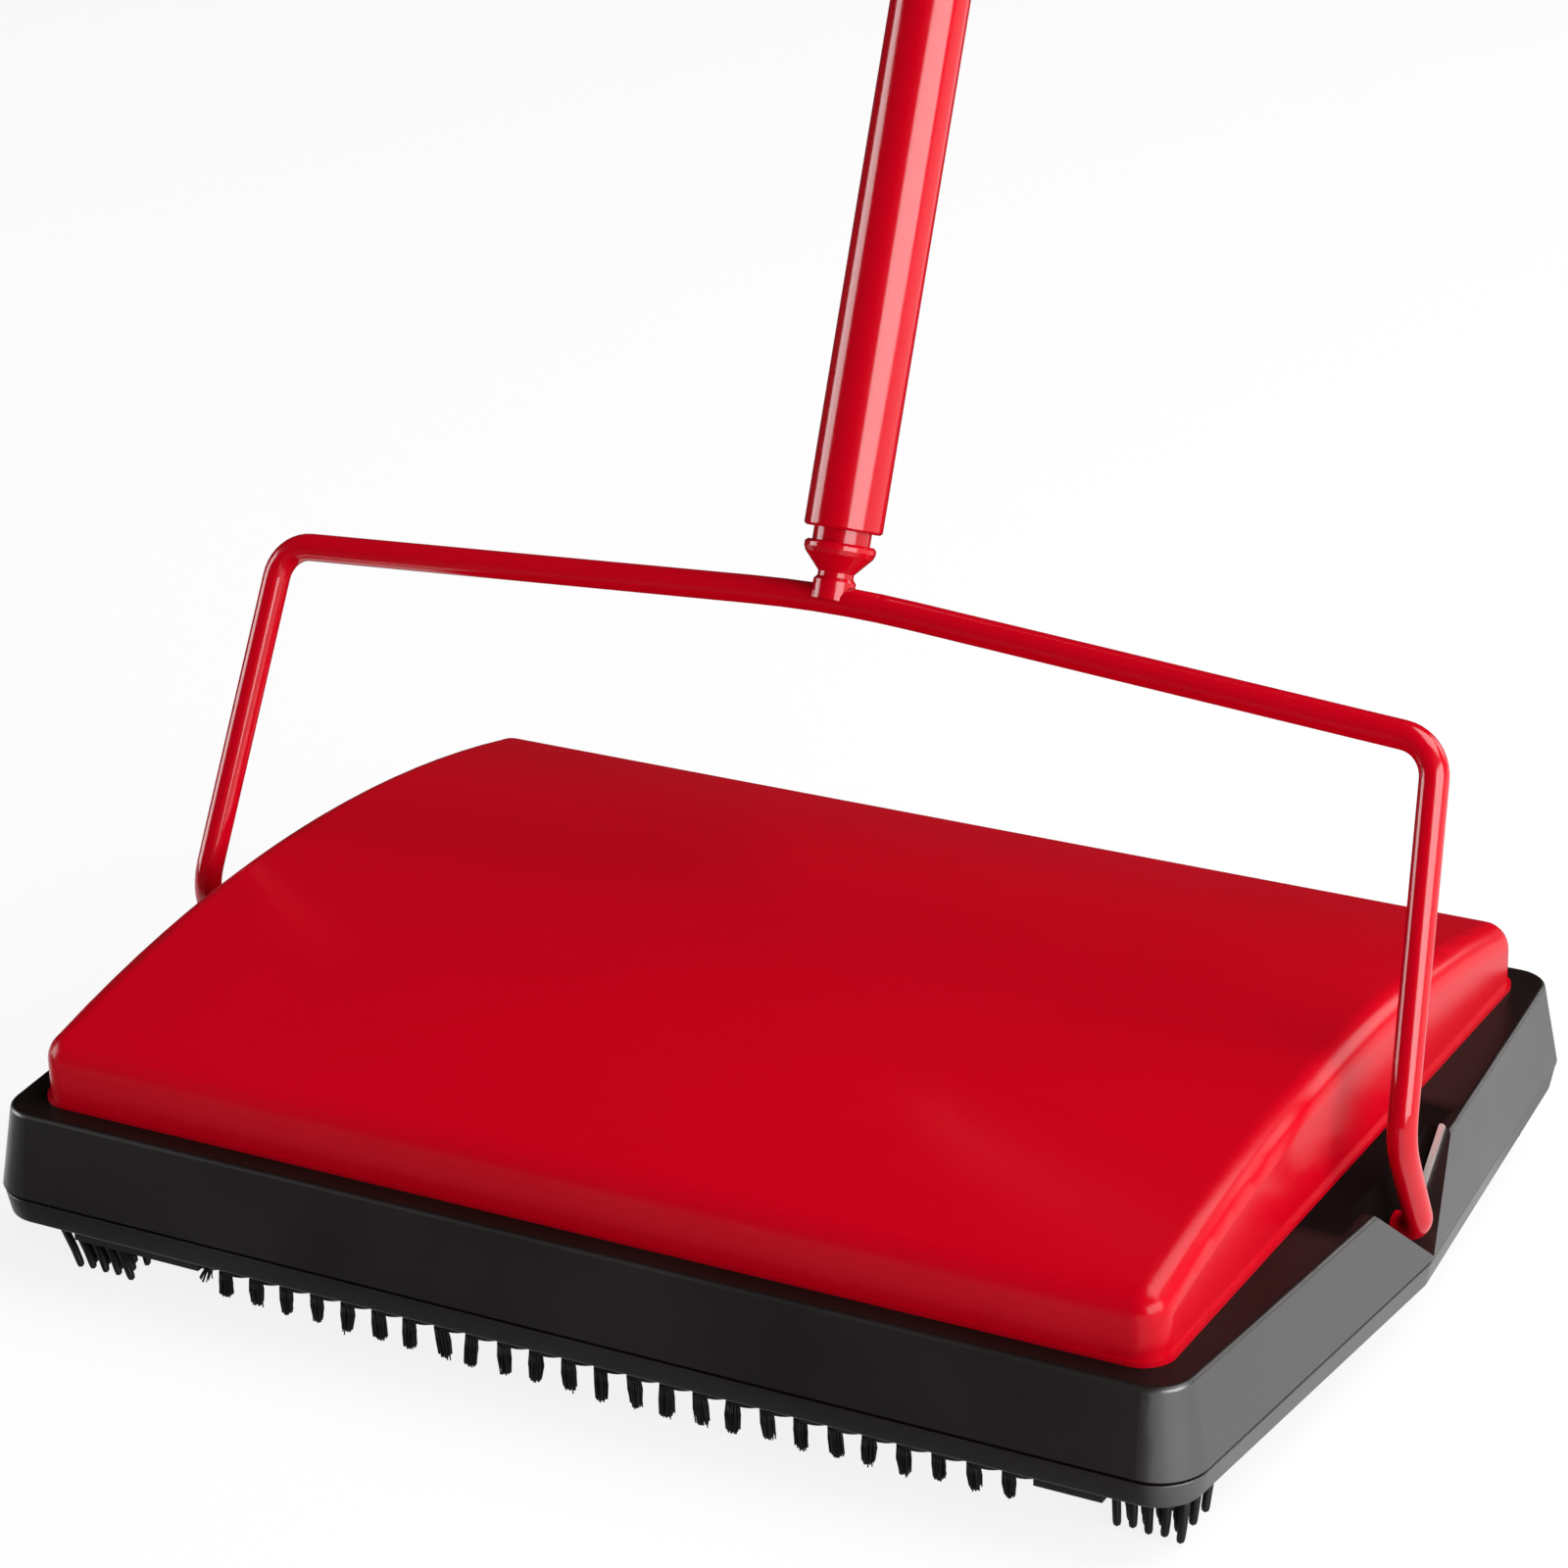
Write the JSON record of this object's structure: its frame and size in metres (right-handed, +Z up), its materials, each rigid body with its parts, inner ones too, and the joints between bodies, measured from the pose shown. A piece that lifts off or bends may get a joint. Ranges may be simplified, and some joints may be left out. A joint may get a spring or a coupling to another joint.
{
  "type": "carpet sweeper",
  "caption": "Low push carpet sweeper: arched red cover on a black wheeled base, brush roll between hinged dust pans, edge and corner brushes, and a wire bail with a long leaning handle.",
  "frame": {"origin": "on the floor, under the middle of the body", "axes": "+X to the right, +Y to the rear, the way the handle leans, +Z up"},
  "size_m": [0.298, 0.5213, 1.0423],
  "materials": {
    "red_enamel": "glossy red enamel",
    "black_plastic": "black, low gloss, faintly brown",
    "dark_bristle": "dark nylon bristle",
    "plated_steel": "bright plating",
    "steel_wire": "bright drawn steel",
    "zinc_sheet": "zinc-plated sheet",
    "rubber": "black rubber",
    "grey_plastic": "dark grey moulded plastic",
    "wood": "plain turned wood"
  },
  "bodies": {
    "body": {"bail_bush_left": "black_plastic", "bail_bush_right": "black_plastic", "base_shell": "black_plastic", "base_skirt": "black_plastic", "corner_bristles_front_left": "dark_bristle", "corner_bristles_front_right": "dark_bristle", "corner_bristles_rear_left": "dark_bristle", "corner_bristles_rear_right": "dark_bristle", "corner_holder_front_left": "black_plastic", "corner_holder_front_right": "black_plastic", "corner_holder_rear_left": "black_plastic", "corner_holder_rear_right": "black_plastic", "cover": "red_enamel", "cover_bosses": "steel_wire", "cover_screws": "steel_wire", "edge_bristles_front": "dark_bristle", "edge_bristles_rear": "dark_bristle", "edge_stem_front": "steel_wire", "edge_stem_rear": "steel_wire", "end_frame_left": "black_plastic", "end_frame_right": "black_plastic", "hanger_front_left": "black_plastic", "hanger_front_right": "black_plastic", "hanger_rear_left": "black_plastic", "hanger_rear_right": "black_plastic", "notch_strip_left": "plated_steel", "notch_strip_right": "plated_steel", "pan_hinge_rod_front": "steel_wire", "pan_hinge_rod_rear": "steel_wire", "stub_axles": "steel_wire"},
    "handle": {"bail": "red_enamel", "end_cap": "black_plastic", "joint_ring_lower": "red_enamel", "joint_ring_upper": "red_enamel", "neck": "red_enamel", "tube_lower": "red_enamel", "tube_middle": "red_enamel", "tube_upper": "red_enamel"},
    "brush_roll": {"roll_axle": "steel_wire", "roll_bristles": "dark_bristle", "roll_core": "wood", "roll_drum_left": "rubber", "roll_drum_right": "rubber"},
    "wheel_front_left": {"wheel_hub_front_left": "grey_plastic", "tyre_front_left": "rubber"},
    "wheel_front_right": {"wheel_hub_front_right": "grey_plastic", "tyre_front_right": "rubber"},
    "wheel_rear_left": {"wheel_hub_rear_left": "grey_plastic", "tyre_rear_left": "rubber"},
    "wheel_rear_right": {"wheel_hub_rear_right": "grey_plastic", "tyre_rear_right": "rubber"},
    "pan_front": {"dust_pan_front": "zinc_sheet"},
    "pan_rear": {"dust_pan_rear": "zinc_sheet"}
  },
  "joints": [
    {"name": "handle_swing", "type": "hinge", "parent": "body", "child": "handle", "pos_m": [0, 0.001, 0.0256], "axis": [-1, 0, 0], "range_deg": [-25, 66]},
    {"name": "roll_spin", "type": "hinge", "parent": "body", "child": "brush_roll", "pos_m": [0, 0, 0.03], "axis": [1, 0, 0], "continuous": true},
    {"name": "wheel_spin_front_left", "type": "hinge", "parent": "body", "child": "wheel_front_left", "pos_m": [-0.119, -0.03746, 0.022], "axis": [1, 0, 0], "continuous": true},
    {"name": "wheel_spin_front_right", "type": "hinge", "parent": "body", "child": "wheel_front_right", "pos_m": [0.119, -0.03746, 0.022], "axis": [1, 0, 0], "continuous": true},
    {"name": "wheel_spin_rear_left", "type": "hinge", "parent": "body", "child": "wheel_rear_left", "pos_m": [-0.119, 0.03746, 0.022], "axis": [1, 0, 0], "continuous": true},
    {"name": "wheel_spin_rear_right", "type": "hinge", "parent": "body", "child": "wheel_rear_right", "pos_m": [0.119, 0.03746, 0.022], "axis": [1, 0, 0], "continuous": true},
    {"name": "pan_swing_front", "type": "hinge", "parent": "body", "child": "pan_front", "pos_m": [0, -0.0872, 0.0115], "axis": [-1, 0, 0], "range_deg": [0, 60], "stiffness_Nm_per_rad": 0.12, "springref_deg": -68.75},
    {"name": "pan_swing_rear", "type": "hinge", "parent": "body", "child": "pan_rear", "pos_m": [0, 0.0872, 0.0115], "axis": [1, 0, 0], "range_deg": [0, 60], "stiffness_Nm_per_rad": 0.12, "springref_deg": -68.75}
  ],
  "couplings": [
    {"joint": "wheel_spin_front_left", "follows": "roll_spin", "ratio": -0.72727},
    {"joint": "wheel_spin_front_right", "follows": "roll_spin", "ratio": -0.72727},
    {"joint": "wheel_spin_rear_left", "follows": "roll_spin", "ratio": -0.72727},
    {"joint": "wheel_spin_rear_right", "follows": "roll_spin", "ratio": -0.72727}
  ]
}
